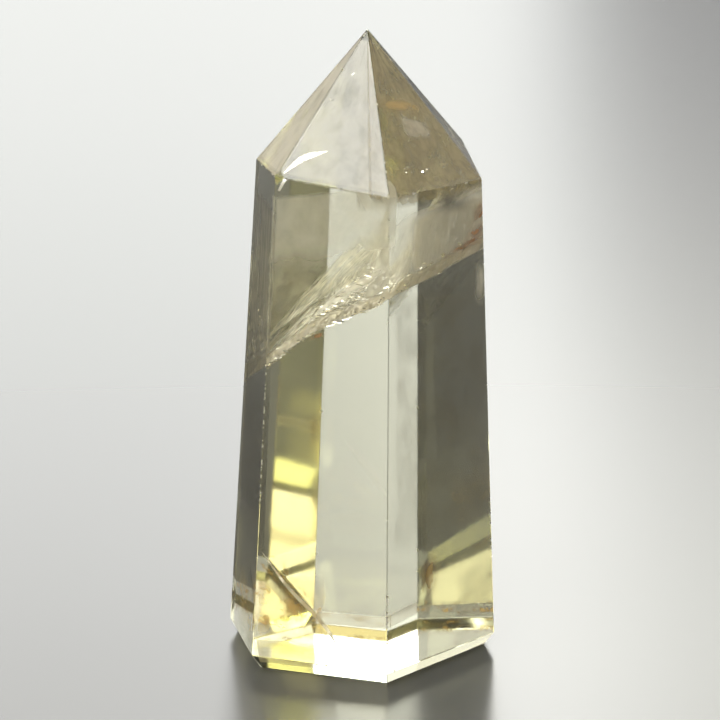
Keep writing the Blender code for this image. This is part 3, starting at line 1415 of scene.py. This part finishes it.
        # Painted shade: a dark sheet that darkens the right part of the stone.
        low, high = ((2.6, -13.4, 15.0), (14.8, -1.4, 15.0)), ((2.8, -12.8, 50.0), (14.0, -1.8, 51.5))
        dusk = Sheet("side_dusk", low, high, side_fade=0.1, foot_fade=0.15, head_fade=0.05)
        pieces += lay([dusk], self.dusk)
        pieces.append(self.inclusion())
        specks = Sheet.patch("specks", (6.6, -8.7, 41.0), (2.6, 2.4, 0.0), (0.2, 0.2, 9.5))
        pieces.append(self.speck.scatter(specks, FlakeFinish().build()))
        pieces += self.sparks()
        return pieces

    def inclusion(self) -> bpy.types.Object:
        """Build the small shell-shaped inclusion behind the right tip face.

        Returns:
            The finished piece.
        """
        shell = Sheet.patch(
            "shell_inclusion", (5.9, -5.2, 68.9), (1.8, 1.3, -0.6), (-0.5, 0.3, 1.6), wave_height=0.25,
            wave_size=1.4, side_fade=0.3, foot_fade=0.3, head_fade=0.3,
        )
        return lay([shell], self.pearl)[0]

    def sparks(self) -> list[bpy.types.Object]:
        """Scatter the small, bright glints.

        Returns:
            The finished pieces.
        """
        foil = FlakeFinish().build()
        spots = (
            ("spark_tip", (-2.4, -3.0, 75.7), (0.4, -0.1, 0.0), (0.0, 0.1, 0.3), Facing.TIP_LEFT),
            ("spark_tip_low", (-1.5, -3.9, 75.3), (0.4, -0.1, 0.0), (0.0, 0.1, 0.3), Facing.TIP_LEFT),
            ("spark_left", (-3.9, -5.9, 72.2), (0.9, -0.2, -0.4), (0.1, 0.2, 0.8), Facing.TIP_LEFT),
            ("spark_flare", (-10.2, -11.0, 64.1), (0.4, -0.1, 0.5), (-0.3, 0.1, 0.5), Facing.FRONT),
            ("spark_right", (5.1, -10.0, 65.1), (0.8, 0.7, 0.0), (0.0, 0.1, 0.5), Facing.TIP_RIGHT),
            ("spark_right_far", (7.2, -8.5, 64.5), (0.8, 0.7, 0.0), (0.0, 0.1, 0.4), Facing.TIP_RIGHT),
            ("spark_shell", (7.2, -4.3, 68.4), (0.3, 0.3, 0.4), (-0.3, 0.2, 1.0), Facing.TIP_RIGHT),
            ("spark_side", (-12.9, -4.6, 48.0), (0.3, -1.4, 0.0), (0.0, 0.0, 2.0), Facing.SIDE),
            ("spark_side_middle", (-12.6, -6.0, 44.6), (0.3, -1.4, 0.0), (0.0, 0.0, 1.5), Facing.SIDE),
            ("spark_side_low", (-13.4, -3.4, 40.4), (0.3, -1.4, 0.0), (0.0, 0.0, 1.5), Facing.SIDE),
        )
        pieces = []
        for index, (name, centre, right, rise, facing) in enumerate(spots):
            kind = replace(self.spark, name=name, facing=facing, seed=index)
            pieces.append(kind.scatter(Sheet.patch(name, centre, right, rise), foil))
        return pieces


@dataclass
class Stage:
    """The dark, satin floor that the stone stands on, which looks pale where it mirrors the panels."""

    reach: float = 3.0
    gap: float = 0.00005
    colour: Colour = (0.06, 0.06, 0.06)
    roughness: float = 0.25

    def build(self) -> bpy.types.Object:
        """Build the floor.

        Returns:
            The floor.
        """
        body = bmesh.new()
        bmesh.ops.create_grid(body, x_segments=1, y_segments=1, size=self.reach)
        bmesh.ops.translate(body, verts=body.verts[:], vec=(0.0, 0.0, -self.gap))
        mesh = bpy.data.meshes.new("floor")
        body.to_mesh(mesh)
        body.free()
        material, _, _ = start_material("floor", Base_Color=rgba(self.colour), Roughness=self.roughness)
        mesh.materials.append(material)
        floor = link("floor", mesh)
        return floor


@dataclass(frozen=True)
class Panel:
    """One soft studio panel, placed by its direction from the stone and turned to face it."""

    name: str
    azimuth_deg: float
    elevation_deg: float
    span_deg: float
    rise_deg: float
    radiance: float
    tint: Colour = (1.0, 1.0, 1.0)
    distance: float = 1.2

    def build(self) -> bpy.types.Object:
        """Build the panel.

        Returns:
            The area light.
        """
        light = bpy.data.lights.new(self.name, "AREA")
        light.shape = "RECTANGLE"
        light.size = 2.0 * self.distance * math.tan(math.radians(self.span_deg / 2.0))
        light.size_y = 2.0 * self.distance * math.tan(math.radians(self.rise_deg / 2.0))
        light.energy = self.radiance * light.size * light.size_y * math.pi
        light.color = self.tint
        panel = bpy.data.objects.new(self.name, light)
        azimuth = math.radians(self.azimuth_deg)
        elevation = math.radians(self.elevation_deg)
        level = math.cos(elevation)
        out = Vector((level * math.cos(azimuth), level * math.sin(azimuth), math.sin(elevation)))
        panel.location = out * self.distance
        panel.rotation_euler = out.to_track_quat("Z", "Y").to_euler()
        bpy.context.scene.collection.objects.link(panel)
        return panel


@dataclass
class Studio:
    """The soft light round the stone: the room's own glow and the panels."""

    sky: Colour = (0.004, 0.004, 0.004)
    panels: tuple[Panel, ...] = (
        Panel("window_right", 78.0, 26.0, 20.0, 12.0, 6.4, (1.0, 1.0, 0.92)),
        Panel("window_right_low", 78.0, 14.0, 18.5, 12.0, 0.9, (0.95, 0.95, 1.0)),
        Panel("window_low", 96.0, 14.0, 18.5, 12.0, 4.5, (0.98, 1.0, 0.97)),
        Panel("window_middle", 96.0, 26.0, 20.0, 12.0, 4.4, (1.0, 1.0, 0.99)),
        Panel("overhead", 60.0, 78.0, 60.0, 22.0, 3.4, (1.0, 0.99, 0.97)),
        Panel("window_high", 96.0, 39.0, 16.0, 14.0, 1.1, (1.0, 0.85, 0.4)),
        Panel("wall_left", 114.0, 4.0, 18.0, 8.0, 1.25, (1.0, 0.92, 0.75)),
        Panel("wall_left_high", 114.0, 39.0, 16.0, 14.0, 2.2, (1.0, 0.87, 0.35)),
        Panel("front_left_low", 222.0, 14.0, 18.0, 16.0, 6.3, (1.0, 0.95, 0.4)),
        Panel("front_low", 240.0, 14.0, 18.0, 16.0, 3.0, (1.0, 1.0, 0.85)),
        Panel("front_left_middle", 222.0, 32.0, 16.0, 20.0, 1.8, (1.0, 0.88, 0.6)),
        Panel("front_middle", 240.0, 32.0, 16.0, 20.0, 3.3, (1.0, 0.94, 0.62)),
        Panel("front_high", 240.0, 61.0, 40.0, 28.0, 6.5, (0.98, 1.0, 0.97)),
        Panel("front_right_high", 280.0, 55.0, 22.0, 24.0, 2.0, (1.0, 0.95, 0.86)),
        Panel("front_right_middle", 315.0, 32.0, 24.0, 20.0, 0.8, (1.0, 0.94, 0.8)),
        Panel("right_back_middle", 15.0, 32.0, 24.0, 20.0, 1.4, (1.0, 0.92, 0.75)),
        Panel("right_middle", 345.0, 32.0, 24.0, 20.0, 0.8, (1.0, 0.94, 0.8)),
        Panel("round_front", 258.0, 14.0, 18.0, 16.0, 2.2),
        Panel("round_front_right", 285.0, 14.0, 26.0, 16.0, 2.2),
        Panel("round_right_front", 315.0, 14.0, 26.0, 16.0, 2.2),
        Panel("round_right", 345.0, 14.0, 26.0, 16.0, 2.0),
        Panel("round_back_right", 15.0, 14.0, 26.0, 16.0, 2.0),
        Panel("round_back", 44.0, 14.0, 26.0, 16.0, 1.8),
        Panel("round_back_middle", 63.0, 14.0, 14.0, 16.0, 2.0),
        Panel("back_left_middle", 132.0, 26.0, 18.5, 12.0, 0.5, (1.0, 0.98, 0.92)),
        Panel("back_middle", 42.0, 26.0, 20.0, 12.0, 0.9),
        Panel("skirting_back", 96.0, 4.0, 18.0, 8.0, 1.4, (1.0, 1.0, 0.95)),
        Panel("skirting_left", 132.0, 4.0, 18.0, 8.0, 1.3, (1.0, 0.97, 0.85)),
        Panel("round_left", 177.0, 14.0, 26.0, 16.0, 2.0),
        Panel("round_left_front", 204.0, 14.0, 18.0, 16.0, 2.0),
    )

    def build(self) -> None:
        """Build the room's glow and every panel."""
        world = bpy.data.worlds.new("studio")
        world.use_nodes = True
        world.node_tree.nodes["Background"].inputs["Color"].default_value = rgba(self.sky)
        bpy.context.scene.world = world
        for panel in self.panels:
            panel.build()


@dataclass
class Viewpoint:
    """The camera, in front of the stone and a little above it."""

    location_mm: Place = (-0.7, -583.8, 256.2)
    pitch_deg: float = 20.55
    roll_deg: float = -0.3
    lens: float = 253.5
    sensor: float = 36.0

    def build(self) -> bpy.types.Object:
        """Build the camera and make it the scene's own.

        Returns:
            The camera.
        """
        data = bpy.data.cameras.new("camera")
        data.lens = self.lens
        data.sensor_width = self.sensor
        camera = bpy.data.objects.new("camera", data)
        tilt = Matrix.Rotation(math.radians(90.0 - self.pitch_deg), 4, "X")
        roll = Matrix.Rotation(math.radians(self.roll_deg), 4, "Z")
        camera.matrix_world = Matrix.Translation(metres(self.location_mm)) @ tilt @ roll
        bpy.context.scene.collection.objects.link(camera)
        bpy.context.scene.camera = camera
        return camera


@dataclass
class LightPaths:
    """How far light is followed, so that it can go round inside the stone."""

    total: int = 24
    inside: int = 16

    def apply(self) -> None:
        """Set the scene's light paths and its plain view of colour."""
        scene = bpy.context.scene
        scene.cycles.max_bounces = self.total
        scene.cycles.glossy_bounces = self.inside
        scene.cycles.transmission_bounces = self.inside
        scene.cycles.transparent_max_bounces = self.total
        scene.view_settings.view_transform = "Standard"


def main() -> None:
    """Build the scene in order and report each piece."""
    logging.basicConfig(level=logging.INFO, format="%(name)s: %(message)s")
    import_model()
    noise.seed_set(WAVE_SEED)
    Viewpoint().build()
    LightPaths().apply()
    Studio().build()
    Stage().build()
    pieces = [Stone().build()]
    for assembly in (HealedFracture(), TipHaze(), FootStains(), IronStains(), FineFlaws()):
        pieces += assembly.build()
    for piece in pieces:
        LOG.info("%s: %d faces", piece.name, len(piece.data.polygons))


if __name__ == "__main__":
    main()
